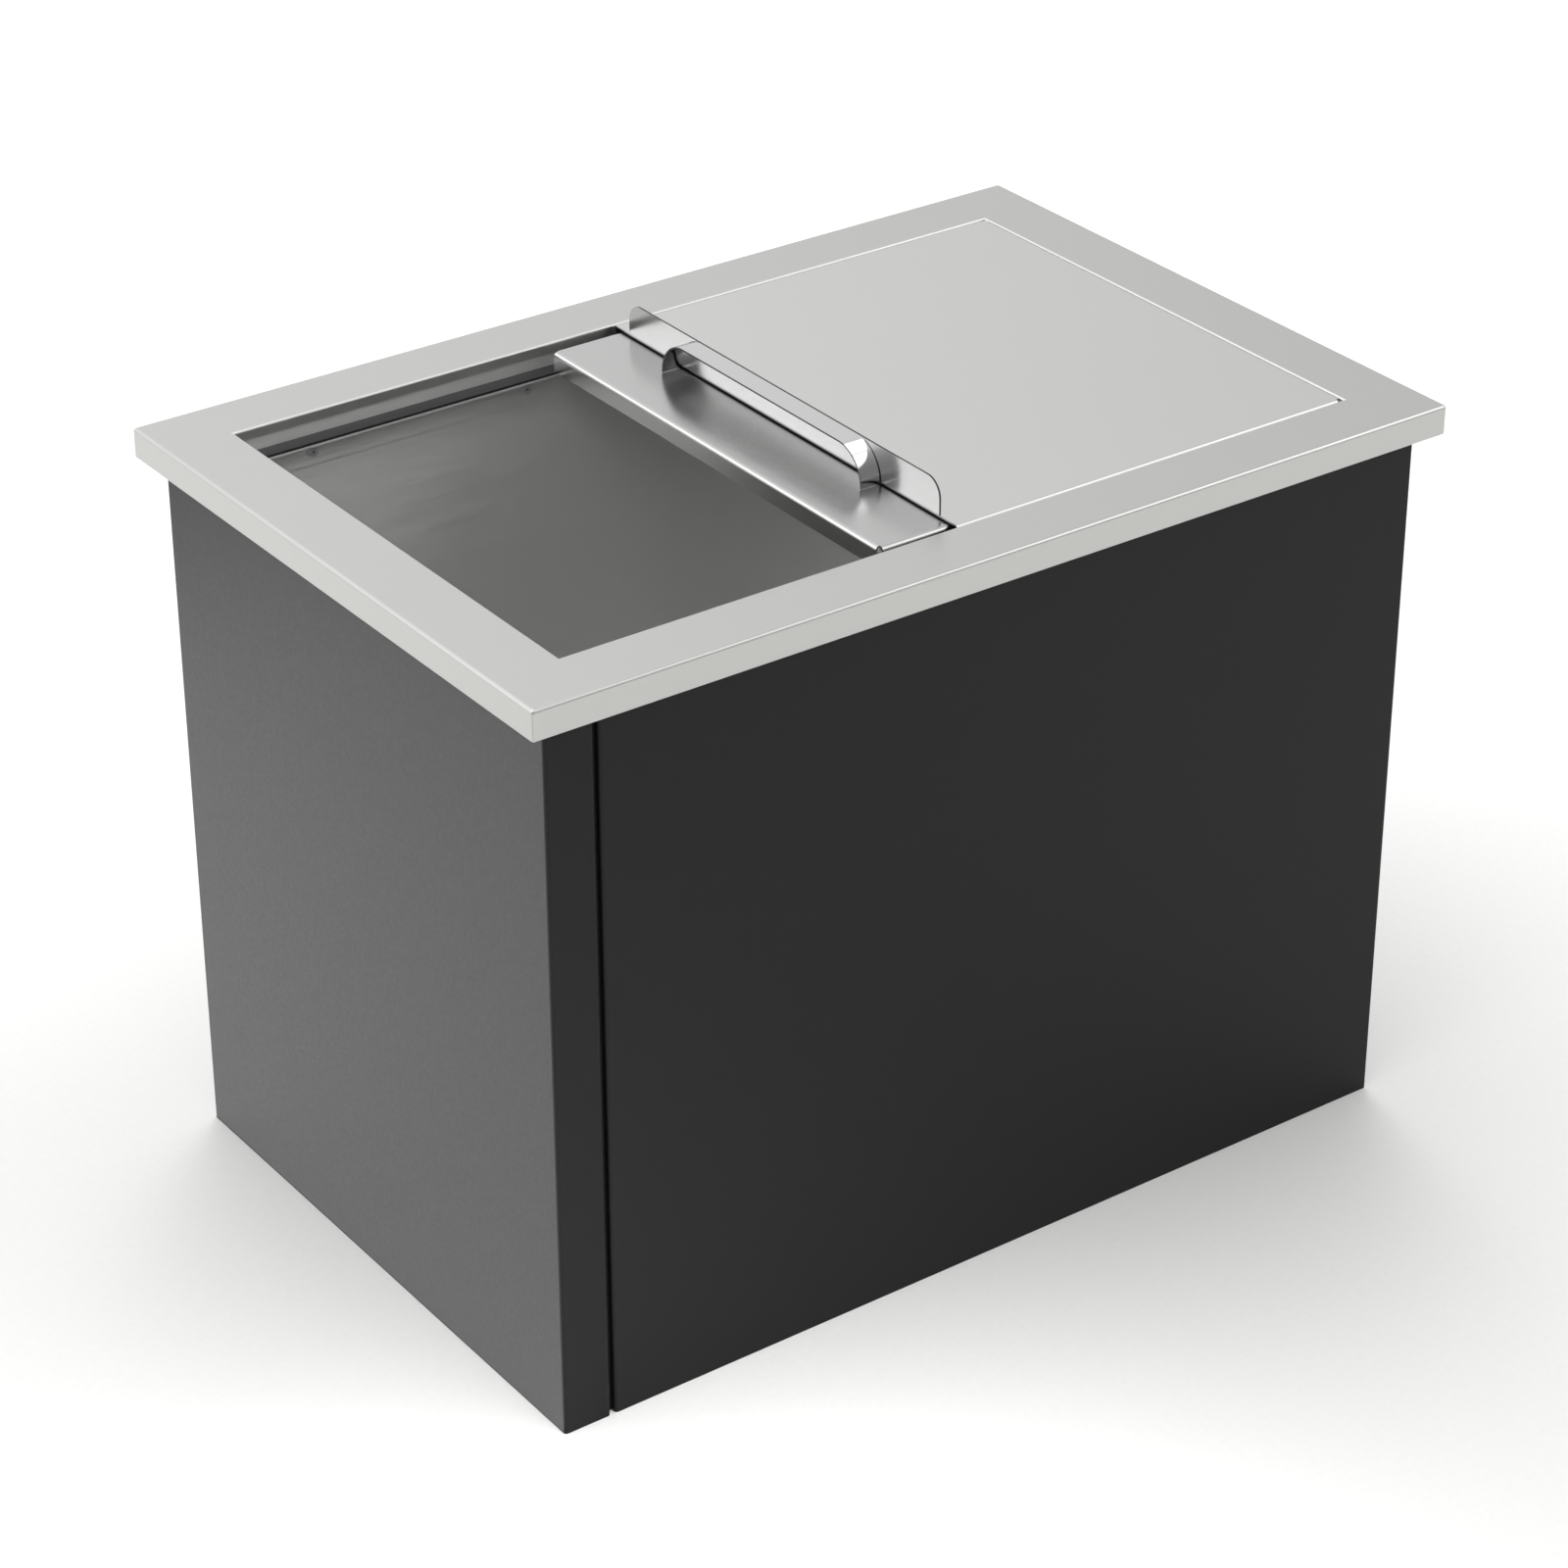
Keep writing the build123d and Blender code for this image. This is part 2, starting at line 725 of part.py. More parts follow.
def valve_gland():
    z = (gland_bottom, stem_boss_bottom)
    return Pos(ball_centre, 0, 0) * (hexagon(gland_flats, z) - rod(stem_radius + stem_gap, z))


def lever_plate():
    # An eye round the stem and an arm that points across the pipe when the valve is shut.
    eye = rod(lever_eye_radius, (lever_bottom, lever_top))
    tip = Pos(0, -lever_length + lever_tip_radius, 0) * rod(lever_tip_radius, (lever_bottom, lever_top))
    arm_y = (-lever_length + lever_tip_radius, 0)
    arm = block((-lever_width / 2, lever_width / 2), arm_y, (lever_bottom, lever_top))
    end = arm.edges().filter_by(Axis.Z).group_by(Axis.Y)[0]
    return eye + fillet(end, lever_tip_radius) + tip


def valve_lever():
    lever = lever_plate() - flatted_rod((lever_bottom, lever_top))
    return Pos(ball_centre, 0, 0) * lever


def lever_nut():
    z = (lever_nut_bottom, lever_bottom)
    return Pos(ball_centre, 0, 0) * (hexagon(lever_nut_flats, z) - rod(stem_thread_radius, z))


def lever_sleeve():
    # A soft sleeve pushed over the lever's end.
    half = lever_width / 2 + sleeve_wall
    end = -lever_length - sleeve_end_wall
    z = (lever_bottom - sleeve_wall, lever_top + sleeve_wall)
    sleeve = block((-half, half), (end, end + sleeve_length), z)
    sleeve = fillet(sleeve.edges().filter_by(Axis.Z).group_by(Axis.Y)[0], lever_tip_radius + sleeve_wall)
    return Pos(ball_centre, 0, 0) * (sleeve - lever_plate())


def outlet_elbow():
    # A level arm screwed on the valve, and a barrel with the outlet's thread pointing down.
    arm_start = valve_end_face + outlet_arm_gap
    socket = (arm_start, valve_thread_end + outlet_arm_gap)
    barrel_z = (-outlet_barrel_drop, outlet_barrel_radius)
    thread_bottom = -outlet_barrel_drop - outlet_thread_length
    barrel = rod(outlet_barrel_radius, barrel_z)
    barrel = fillet(barrel.edges().sort_by(Axis.Z)[-1], outlet_barrel_round)
    barrel += rod(pipe_thread_radius, (thread_bottom, -outlet_barrel_drop))
    elbow = Pos(outlet_centre, 0, 0) * barrel + rod_x(outlet_arm_radius, (arm_start, outlet_centre))
    elbow -= rod_x(pipe_thread_radius + thread_gap, socket)
    elbow -= rod_x(pipe_bore_radius, (arm_start, outlet_centre))
    elbow -= Pos(outlet_centre, 0, 0) * rod(pipe_bore_radius, (thread_bottom, pipe_bore_radius))
    return Pos(0, 0, pipe_height) * elbow


def saddle_screw_places():
    y = elbow_arm_radius + saddle_gap + saddle_foot / 2 + saddle_sheet / 2
    return [(saddle_centre, -y), (saddle_centre, y)]


def pipe_saddle():
    inner = elbow_arm_radius + saddle_gap
    outer = inner + saddle_sheet
    reach = inner + saddle_foot
    x = (saddle_centre - saddle_width / 2, saddle_centre + saddle_width / 2)
    strap = Pos(0, 0, pipe_height) * rod_x(outer, x)
    strap += block(x, (-outer, outer), (pipe_height, base_height))
    strap -= Pos(0, 0, pipe_height) * rod_x(inner, x)
    strap -= block(x, (-inner, inner), (pipe_height, base_height))
    strap += block(x, (-reach, -inner), (base_height - saddle_sheet, base_height))
    strap += block(x, (inner, reach), (base_height - saddle_sheet, base_height))
    for px, py in saddle_screw_places():
        strap -= Pos(px, py, 0) * rod(screw_radius, (base_height - saddle_sheet, base_height))
    return strap


def saddle_screws():
    screws = []
    foot = base_height - saddle_sheet
    for x, y in saddle_screw_places():
        screw = rod(screw_radius, (foot, base_top + screw_above))
        head = rod(screw_head_radius, (foot - screw_head, foot))
        head = fillet(head.edges().sort_by(Axis.Z)[0], screw_head_round)
        screws.append(Pos(x, y, 0) * (screw + head))
    return screws


def screw_pockets(board):
    # Room in the floor board for the saddle's screws.
    for x, y in saddle_screw_places():
        pocket = rod(screw_radius + foam_pocket_gap, (base_top, base_top + screw_above + foam_pocket_gap))
        board -= Pos(x, y, 0) * pocket
    return board


def both(pieces):
    # The front's pieces and the same at the rear.
    return pieces + [half_turn(piece) for piece in pieces]


def write(name, *solids):
    found = [solid for shape in solids for solid in shape.solids()]
    shape = found[0] if len(found) == 1 else Compound(children=found)
    shape.label = name
    export_step(shape, os.path.join("parts", name + ".step"))


os.makedirs("parts", exist_ok=True)
write("top_flange", top_flange())
write("inner_tub", inner_tub())
write("front_rail", front_rail())
write("rear_rail", half_turn(front_rail()))
write("front_glide", front_glide())
write("rear_glide", half_turn(front_glide()))
write("rail_rivets", *both(front_rail_rivets()))
write("front_right_panel", front_right_panel())
write("rear_left_panel", half_turn(front_right_panel()))
write("front_seam_bar", front_seam_bar())
write("rear_seam_bar", half_turn(front_seam_bar()))
write("seam_rivets", *both(front_seam_rivets()))
write("base_pan", base_pan())
write("insulation_right", side_foam_right())
write("insulation_left", half_turn(side_foam_right()))
write("insulation_front", front_foam())
write("insulation_rear", half_turn(front_foam()))
write("insulation_floor", screw_pockets(floor_foam()))
write("upper_cover", upper_cover())
write("cover_upstand", cover_upstand())
write("finger_hood", finger_hood())
write("lower_cover", lower_cover())
write("lower_cover_stiffener", lower_cover_stiffener())
write("drain_strainer", drain_strainer())
write("drain_body", drain_body())
write("drain_gasket", drain_gasket())
write("drain_washer", drain_washer())
write("drain_locknut", drain_locknut())
write("drain_elbow", drain_elbow())
write("valve_body", valve_body())
write("valve_end", valve_end())
write("valve_seats", *valve_seats())
write("valve_ball", valve_ball())
write("valve_stem", valve_stem())
write("valve_gland", valve_gland())
write("valve_lever", valve_lever())
write("lever_nut", lever_nut())
write("lever_sleeve", lever_sleeve())
write("outlet_elbow", outlet_elbow())
write("pipe_saddle", pipe_saddle())
write("saddle_screws", *saddle_screws())
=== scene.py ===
import math

import bmesh
import bpy
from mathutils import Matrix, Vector


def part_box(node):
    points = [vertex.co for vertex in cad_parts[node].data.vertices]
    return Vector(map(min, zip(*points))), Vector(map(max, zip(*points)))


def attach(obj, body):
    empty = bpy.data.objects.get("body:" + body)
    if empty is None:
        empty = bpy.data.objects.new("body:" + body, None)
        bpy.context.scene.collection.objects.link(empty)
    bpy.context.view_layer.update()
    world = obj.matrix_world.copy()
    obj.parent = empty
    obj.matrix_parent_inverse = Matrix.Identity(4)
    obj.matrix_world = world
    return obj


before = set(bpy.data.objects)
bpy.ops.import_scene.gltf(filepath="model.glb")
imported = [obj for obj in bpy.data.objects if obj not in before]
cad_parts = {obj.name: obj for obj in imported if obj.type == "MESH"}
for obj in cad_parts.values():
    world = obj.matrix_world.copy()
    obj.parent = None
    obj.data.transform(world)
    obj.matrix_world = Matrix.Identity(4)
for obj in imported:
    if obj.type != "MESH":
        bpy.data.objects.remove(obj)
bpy.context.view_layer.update()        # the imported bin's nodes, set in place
mm = 0.001
print("loaded", len(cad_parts), "nodes")


def linearColour(hexColour):
    # sRGB hex, as a colour picker shows it, to the linear RGBA of Blender's sockets
    channels = [int(hexColour[i:i + 2], 16) / 255 for i in (1, 3, 5)]
    return [c / 12.92 if c <= 0.04045 else ((c + 0.055) / 1.055) ** 2.4 for c in channels] + [1.0]


def addNode(tree, kind, settings=None, links=None):
    # Settings name the node's own properties or its inputs, links join an input to another node's output.
    # A Mix node's sockets go by number: 0 is the share of the second input. The two inputs and the output
    # are 2, 3 and 0 for plain numbers, 4, 5 and 1 for vectors, and 6, 7 and 2 for colours.
    node = tree.nodes.new(kind)
    for key, value in (settings or {}).items():
        if isinstance(key, str) and hasattr(node, key):
            setattr(node, key, value)
        else:
            node.inputs[key].default_value = value
    for key, source in (links or {}).items():
        tree.links.new(source, node.inputs[key])
    return node


def startMaterial(name, even):
    # a Principled shader with its even values, and the place on the part in metres
    material = bpy.data.materials.new(name)
    material.use_nodes = True
    tree = material.node_tree
    tree.nodes.clear()
    shader = addNode(tree, "ShaderNodeBsdfPrincipled", even)
    addNode(tree, "ShaderNodeOutputMaterial", links={"Surface": shader.outputs["BSDF"]})
    place = addNode(tree, "ShaderNodeTexCoord").outputs["Object"]
    return material, tree, shader, place


grainLayers = {"soft": 1.0, "plain": 2.0, "ragged": 3.0, "craggy": 4.0}        # finer layers in a grain
grainSpan = (0.3, 0.7)        # nearly all of a grain's values lie between these


def grainPattern(tree, place, size, layers="plain"):
    # size is the length, width and height of one patch in millimetres, or one number where they are alike
    scale = [1 / (s * mm) for s in (size if isinstance(size, tuple) else (size,) * 3)]
    laid = addNode(tree, "ShaderNodeMapping", {"Scale": scale}, {"Vector": place}).outputs[0]
    return addNode(
        tree, "ShaderNodeTexNoise", {"Scale": 1.0, "Detail": grainLayers[layers]}, {"Vector": laid}
    ).outputs["Fac"]


def wearPattern(tree, shader, look, pattern, second=None, share=0.0):
    # One pattern, or a blend with a share of a second, gives a surface its tint, roughness and relief.
    if second is not None:
        pattern = addNode(
            tree, "ShaderNodeMix", {"data_type": "FLOAT", 0: share}, {2: pattern, 3: second}
        ).outputs[0]
    tint = addNode(
        tree, "ShaderNodeMix",
        {"data_type": "RGBA", 6: linearColour(look["dark"]), 7: linearColour(look["light"])}, {0: pattern},
    ).outputs[2]
    rough = addNode(
        tree, "ShaderNodeMapRange",
        {
            "From Min": grainSpan[0], "From Max": grainSpan[1],
            "To Min": look["rough"][0], "To Max": look["rough"][1],
        },
        {"Value": pattern},
    ).outputs[0]
    relief = addNode(
        tree, "ShaderNodeBump", {"Strength": 1.0, "Distance": look["relief"] * mm}, {"Height": pattern}
    ).outputs[0]
    for socket, source in (("Base Color", tint), ("Roughness", rough), ("Normal", relief)):
        tree.links.new(source, shader.inputs[socket])
    return tint, rough


def lookingAlong(tree):
    # the way that a face looks, and how far that is along the bin: 1 on its right end, -1 on its left
    normal = addNode(tree, "ShaderNodeNewGeometry").outputs["Normal"]
    along = addNode(tree, "ShaderNodeSeparateXYZ", links={"Vector": normal}).outputs["X"]
    return normal, along


def unrolledSheet(tree, place, sideGrain):
    # Lays the folded sheet flat: the first coordinate runs along the brush lines and the second across them.
    # On the end faces the lines run up the fold ("z") or go on round the corner ("y").
    normal, along = lookingAlong(tree)
    endFace = addNode(tree, "ShaderNodeMath", {"operation": "MULTIPLY"}, {0: along, 1: along}).outputs[0]
    at = addNode(tree, "ShaderNodeSeparateXYZ", links={"Vector": place}).outputs
    across = addNode(tree, "ShaderNodeMath", {"operation": "ADD"}, {0: at["Y"], 1: at["Z"]}).outputs[0]
    mainFlat = addNode(tree, "ShaderNodeCombineXYZ", links={"X": at["X"], "Y": across}).outputs[0]
    first, second, endLines = {"z": ("Z", "Y", (0, 0, 1)), "y": ("Y", "Z", (0, 1, 0))}[sideGrain]
    endFlat = addNode(tree, "ShaderNodeCombineXYZ", links={"X": at[first], "Y": at[second]}).outputs[0]
    flat = addNode(
        tree, "ShaderNodeMix", {"data_type": "VECTOR"}, {0: endFace, 4: mainFlat, 5: endFlat}
    ).outputs[1]
    lines = addNode(
        tree, "ShaderNodeMix", {"data_type": "VECTOR", 4: (1, 0, 0), 5: endLines}, {0: endFace}
    ).outputs[1]
    # glints stretch at a right angle to the brush lines
    tangent = addNode(
        tree, "ShaderNodeVectorMath", {"operation": "CROSS_PRODUCT"}, {0: normal, 1: lines}
    ).outputs[0]
    return flat, tangent


def stainlessSheet(name, look, grain):
    # Stainless sheet finished with an abrasive belt or a buffing wheel: parallel lines stretch the glints.
    material, tree, shader, place = startMaterial(name, {"Metallic": 1.0, "Anisotropic": look["stretch"]})
    flat, tangent = unrolledSheet(tree, place, look["sideGrain"])
    tree.links.new(tangent, shader.inputs["Tangent"])
    fine = grainPattern(tree, flat, grain["fine"])
    broad = grainPattern(tree, flat, grain["broad"], "soft")
    lines = addNode(
        tree, "ShaderNodeMix", {"data_type": "FLOAT", 0: grain["broadShare"]}, {2: fine, 3: broad}
    ).outputs[0]
    smudges = grainPattern(tree, place, grain["smudge"], "ragged")
    tint, rough = wearPattern(tree, shader, look, lines, smudges, grain["smudgeShare"])
    return {
        "material": material, "tree": tree, "shader": shader, "place": place,
        "Base Color": tint, "Roughness": rough,
    }


def layOver(sheet, look, mask):
    # gives the sheet another colour where the mask is 1, and another roughness if the look has one
    layers = [("Base Color", "RGBA", 6, 7, 2, linearColour(look["colour"]))]
    if "rough" in look:
        layers.append(("Roughness", "FLOAT", 2, 3, 0, look["rough"]))
    for socket, kind, under, over, out, value in layers:
        sheet[socket] = addNode(
            sheet["tree"], "ShaderNodeMix", {"data_type": kind, over: value}, {0: mask, under: sheet[socket]}
        ).outputs[out]
        sheet["tree"].links.new(sheet[socket], sheet["shader"].inputs[socket])


edgeTurn = (0.45, 0.55)        # how far along the bin a face looks where a sheet turns into its cut edge


def darkenEdgeFaces(sheet, look, atEnds):
    # A sheared edge stays darker than the sheet, and a deburred one less so; on the cover the darker end
    # faces also paint the shade in the narrow gaps beside them. It is found by the way that it faces: the
    # hood's and the cover's look along the bin, and the upstand's rim looks every other way.
    tree = sheet["tree"]
    along = lookingAlong(tree)[1]
    reach = addNode(tree, "ShaderNodeMath", {"operation": "ABSOLUTE"}, {0: along}).outputs[0]
    clean, cut = edgeTurn if atEnds else reversed(edgeTurn)
    mask = addNode(
        tree, "ShaderNodeMapRange", {"From Min": clean, "From Max": cut}, {"Value": reach}
    ).outputs[0]
    layOver(sheet, look, mask)


def fromMiddle(sheet):
    # how far a point lies from the bin's middle lines, counted alike to both sides
    away = addNode(sheet["tree"], "ShaderNodeVectorMath", {"operation": "ABSOLUTE"}, {0: sheet["place"]})
    return addNode(sheet["tree"], "ShaderNodeSeparateXYZ", links={"Vector": away.outputs[0]}).outputs


def paintMouthHighlight(sheet, look):
    # Painted highlight: the rolled edge of the mouth is drawn lighter than the sheet, a light line all round
    # the opening, out to the well's inner faces.
    tree = sheet["tree"]
    away = fromMiddle(sheet)
    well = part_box("inner_tub")[1]
    within = []
    for i in (0, 1):
        inner = well[i] - look["wellWall"] * mm
        within.append(
            addNode(tree, "ShaderNodeMath", {"operation": "LESS_THAN", 1: inner}, {0: away[i]}).outputs[0]
        )
    mask = addNode(
        tree, "ShaderNodeMath", {"operation": "MULTIPLY"}, {0: within[0], 1: within[1]}
    ).outputs[0]
    layOver(sheet, look, mask)


def weldCorners(sheet, look):
    # The rim's corners are welded and ground: a thin dull line runs up each corner of the skirt.
    tree = sheet["tree"]
    away = fromMiddle(sheet)
    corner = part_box("top_flange")[1]
    skew = addNode(
        tree, "ShaderNodeMath", {"operation": "SUBTRACT"}, {0: away["X"], 1: away["Y"]}
    ).outputs[0]
    side = addNode(
        tree, "ShaderNodeMath", {"operation": "SUBTRACT", 1: corner[0] - corner[1]}, {0: skew}
    ).outputs[0]
    apart = addNode(tree, "ShaderNodeMath", {"operation": "ABSOLUTE"}, {0: side}).outputs[0]
    line = addNode(
        tree, "ShaderNodeMapRange",
        {"From Min": look["width"] * mm, "From Max": look["core"] * mm, "To Max": look["strength"]},
        {"Value": apart},
    ).outputs[0]
    end = corner[2] - look["belowTop"] * mm
    below = addNode(tree, "ShaderNodeMath", {"operation": "LESS_THAN", 1: end}, {0: away["Z"]}).outputs[0]
    mask = addNode(tree, "ShaderNodeMath", {"operation": "MULTIPLY"}, {0: line, 1: below}).outputs[0]
    layOver(sheet, look, mask)


# A 180 grit belt leaves lines about 0.1 mm apart. They are drawn about ten times coarser, or none would show.
beltGrain = {
    "fine": (22.0, 1.2, 1.2), "broad": (140.0, 5.0, 5.0), "broadShare": 0.35,
    "smudge": 90.0, "smudgeShare": 0.25,
}
# A buffing wheel leaves next to nothing, only faint long waves.
buffGrain = {
    "fine": (40.0, 2.5, 2.5), "broad": (160.0, 14.0, 14.0), "broadShare": 0.35,
    "smudge": 50.0, "smudgeShare": 0.4,
}
# The well's satin comes from a fine belt and a wipe: longer, softer lines.
satinGrain = {
    "fine": (34.0, 1.4, 1.4), "broad": (200.0, 8.0, 8.0), "broadShare": 0.35,
    "smudge": 90.0, "smudgeShare": 0.3,
}
sheared = {"colour": "#4E4E50", "rough": 0.5}
# the cover's end faces are partly painted shade: a darker tone for the narrow gaps between the cover, the rim
# and the lower cover
deburredEdgeAndGapShade = {"colour": "#929294", "rough": 0.42}
# painted highlight on the rim's rolled mouth edge, drawn lighter than the sheet
mouthHighlight = {"wellWall": 0.9, "colour": "#DADAD8"}
cornerLine = {
    "width": 0.45, "core": 0.09, "strength": 0.7, "belowTop": 1.2, "colour": "#8E8E8D", "rough": 0.45,
}

rimSheet = stainlessSheet("belt_brushed_stainless_rim", {
    "dark": "#C2C2C0", "light": "#C9C9C7", "rough": (0.27, 0.33), "relief": 0.0030, "stretch": 0.5,
    "sideGrain": "z",
}, beltGrain)
paintMouthHighlight(rimSheet, mouthHighlight)
weldCorners(rimSheet, cornerLine)

coverSheet = stainlessSheet("belt_brushed_stainless_cover", {
    "dark": "#CDCDCB", "light": "#D3D3D1", "rough": (0.29, 0.35), "relief": 0.0025, "stretch": 0.5,
    "sideGrain": "z",
}, beltGrain)
darkenEdgeFaces(coverSheet, deburredEdgeAndGapShade, atEnds=True)

lowerCoverSheet = stainlessSheet("cold_rolled_stainless_lower_cover", {
    "dark": "#BCBCBC", "light": "#C1C1C0", "rough": (0.20, 0.25), "relief": 0.0004, "stretch": 0.25,
    "sideGrain": "z",
}, buffGrain)

upstandSheet = stainlessSheet("buffed_stainless_upstand", {
    "dark": "#C6C6C6", "light": "#CACACA", "rough": (0.18, 0.22), "relief": 0.0003, "stretch": 0.15,
    "sideGrain": "y",
}, buffGrain)
darkenEdgeFaces(upstandSheet, sheared, atEnds=False)

hoodSheet = stainlessSheet("buffed_stainless_hood", {
    "dark": "#C9C9C9", "light": "#CECECE", "rough": (0.09, 0.13), "relief": 0.0003, "stretch": 0.15,
    "sideGrain": "y",
}, buffGrain)
darkenEdgeFaces(hoodSheet, sheared, atEnds=True)

wellSheet = stainlessSheet("satin_stainless_well", {
    "dark": "#CDCDCC", "light": "#D5D5D4", "rough": (0.44, 0.52), "relief": 0.0020, "stretch": 0.5,
    "sideGrain": "y",
}, satinGrain)
print("sheet steels ready")


def powderCoat():
    # Steel sprayed with black polyester powder and baked: a satin skin with a faint orange peel.
    look = {
        "dark": "#121213", "light": "#161617", "rough": (0.44, 0.50), "relief": 0.004,
        "wave": 2.4, "grit": 0.8, "gritShare": 0.3,
    }
    material, tree, shader, place = startMaterial(
        "black_powder_coat", {"IOR": 1.5, "Specular IOR Level": 0.22}
    )
    waves = grainPattern(tree, place, look["wave"], "soft")
    grit = grainPattern(tree, place, look["grit"])
    wearPattern(tree, shader, look, waves, grit, look["gritShare"])
    return material


def rivetAlloy():
    # Blind rivets of aluminium alloy, tumbled after heading: a dull sheen with small dents.
    look = {"dark": "#B9BABC", "light": "#D2D3D5", "rough": (0.30, 0.44), "relief": 0.010, "dent": 0.7}
    material, tree, shader, place = startMaterial("tumbled_aluminium_alloy", {"Metallic": 1.0})
    wearPattern(tree, shader, look, grainPattern(tree, place, look["dent"], "ragged"))
    return material


def rivetCore():
    # The broken end of a steel pin in each rivet: grey and grainy.
    look = {"dark": "#55565A", "light": "#8C8D90", "rough": (0.45, 0.6), "relief": 0.02, "grain": 0.3}
    material, tree, shader, place = startMaterial("snapped_steel_pin", {"Metallic": 1.0})
    wearPattern(tree, shader, look, grainPattern(tree, place, look["grain"], "ragged"))
    return material


def cutFoam():
    # Polyurethane board cut with a hot wire: a matt open face of cells. Cells of 0.4 mm are drawn at 1.6 mm.
    look = {
        "dark": "#C2B98E", "light": "#E6DFBE", "rough": (0.8, 0.95), "relief": 0.3,
        "cell": 1.6, "patch": 30.0, "patchShare": 0.4,
    }
    material, tree, shader, place = startMaterial("hot_wire_cut_polyurethane_foam", {"IOR": 1.4})
    cells = addNode(
        tree, "ShaderNodeTexVoronoi", {"Scale": 1 / (look["cell"] * mm)}, {"Vector": place}
    ).outputs["Distance"]
    wearPattern(tree, shader, look, cells, grainPattern(tree, place, look["patch"]), look["patchShare"])
    return material


def blackNylon():
    # Extruded black nylon strip: a waxy sheen with drawn lines along it.
    look = {
        "dark": "#111112", "light": "#1C1C1D", "rough": (0.36, 0.48), "relief": 0.006,
        "lines": (45.0, 0.8, 0.8),
    }
    material, tree, shader, place = startMaterial("extruded_black_nylon", {"IOR": 1.53})
    wearPattern(tree, shader, look, grainPattern(tree, place, look["lines"]))
    return material


def gasketRubber():
    # Sheet rubber punched to a ring: dull, with the fine weave of the curing cloth.
    look = {
        "dark": "#161616", "light": "#262626", "rough": (0.7, 0.85), "relief": 0.03,
        "weave": 1.0, "bloom": 1.5, "bloomShare": 0.7,
    }
    material, tree, shader, place = startMaterial("cured_sheet_rubber", {"IOR": 1.52})
    weave = addNode(
        tree, "ShaderNodeTexChecker", {"Scale": 1 / (look["weave"] * mm)}, {"Vector": place}
    ).outputs["Fac"]
    wearPattern(tree, shader, look, weave, grainPattern(tree, place, look["bloom"]), look["bloomShare"])
    return material


def turnedDrain():
    # Stainless turned on a lathe: rings round the drain's middle. A feed of 0.15 mm is drawn at 0.7 mm.
    look = {
        "dark": "#B4B4B2", "light": "#CECECC", "rough": (0.22, 0.32), "relief": 0.006,
        "feed": 0.7, "stain": 4.0, "stainShare": 0.6,
    }
    material, tree, shader, place = startMaterial("lathe_turned_stainless", {"Metallic": 1.0})
    ringsApart = 2 * math.pi / 20        # in metres, at a scale of 1
    rings = addNode(
        tree, "ShaderNodeTexWave",
        {"wave_type": "RINGS", "rings_direction": "Z", "Scale": ringsApart / (look["feed"] * mm)},
        {"Vector": place},
    ).outputs["Fac"]
    wearPattern(tree, shader, look, rings, grainPattern(tree, place, look["stain"]), look["stainShare"])
    return material


def platedBrass():
    # Sand-cast brass under nickel plate: a warm bright skin over a cast grain.
    look = {"dark": "#B5AE9C", "light": "#D6D0C2", "rough": (0.22, 0.36), "relief": 0.03, "grain": 1.3}
    material, tree, shader, place = startMaterial("nickel_plated_cast_brass", {"Metallic": 1.0})
    wearPattern(tree, shader, look, grainPattern(tree, place, look["grain"], "craggy"))
    return material


def seatPlastic():
    # Rings machined from white fluoropolymer rod: waxy, with a soft milky skin.
    look = {
        "dark": "#DDDDD8", "light": "#F0F0ED", "rough": (0.35, 0.45), "relief": 0.004,
        "turning": (0.5, 6.0, 6.0),
    }
    material, tree, shader, place = startMaterial("machined_white_fluoropolymer", {"IOR": 1.35})
    wearPattern(tree, shader, look, grainPattern(tree, place, look["turning"]))
    return material


def valveSteel():
    # Cold-rolled and barrel-finished stainless: soft streaks along the lever.
    look = {
        "dark": "#A9AAAB", "light": "#C6C6C5", "rough": (0.26, 0.38), "relief": 0.006,
        "streak": (0.9, 16.0, 0.9), "cloud": 8.0, "cloudShare": 0.4,
    }
    material, tree, shader, place = startMaterial("barrel_finished_stainless", {"Metallic": 1.0})
    streaks = grainPattern(tree, place, look["streak"])
    wearPattern(tree, shader, look, streaks, grainPattern(tree, place, look["cloud"]), look["cloudShare"])
    return material


def zincPlate():
    # Zinc plated strip with a clear blue passivation: cool, with faint straw patches.
    look = {"dark": "#A9B4BC", "light": "#CFCDC0", "rough": (0.30, 0.42), "relief": 0.008, "patch": 6.0}
    material, tree, shader, place = startMaterial("blue_passivated_zinc_plate", {"Metallic": 1.0})
    wearPattern(tree, shader, look, grainPattern(tree, place, look["patch"], "craggy"))
    return material


def dippedVinyl():
    # The lever's end dipped in soft vinyl: glossy, with slow ripples where it ran.
    look = {
        "dark": "#9C2422", "light": "#B83230", "rough": (0.26, 0.36), "relief": 0.05,
        "ripple": (3.0, 5.0, 3.0),
    }
    material, tree, shader, place = startMaterial("dipped_soft_vinyl", {"IOR": 1.53})
    wearPattern(tree, shader, look, grainPattern(tree, place, look["ripple"]))
    return material


def brazedJointAndCreviceShade():
    # Silver solder round the hood's ends, drawn dark: the dark tone paints the shade in the corner between
    # the hood and the upstand.
    look = {"dark": "#1E1E20", "light": "#48484A", "rough": (0.35, 0.5), "relief": 0.03, "bead": 1.4}
    material, tree, shader, place = startMaterial("silver_solder_and_crevice_shade", {"Metallic": 0.8})
    wearPattern(tree, shader, look, grainPattern(tree, place, look["bead"]))
    return material


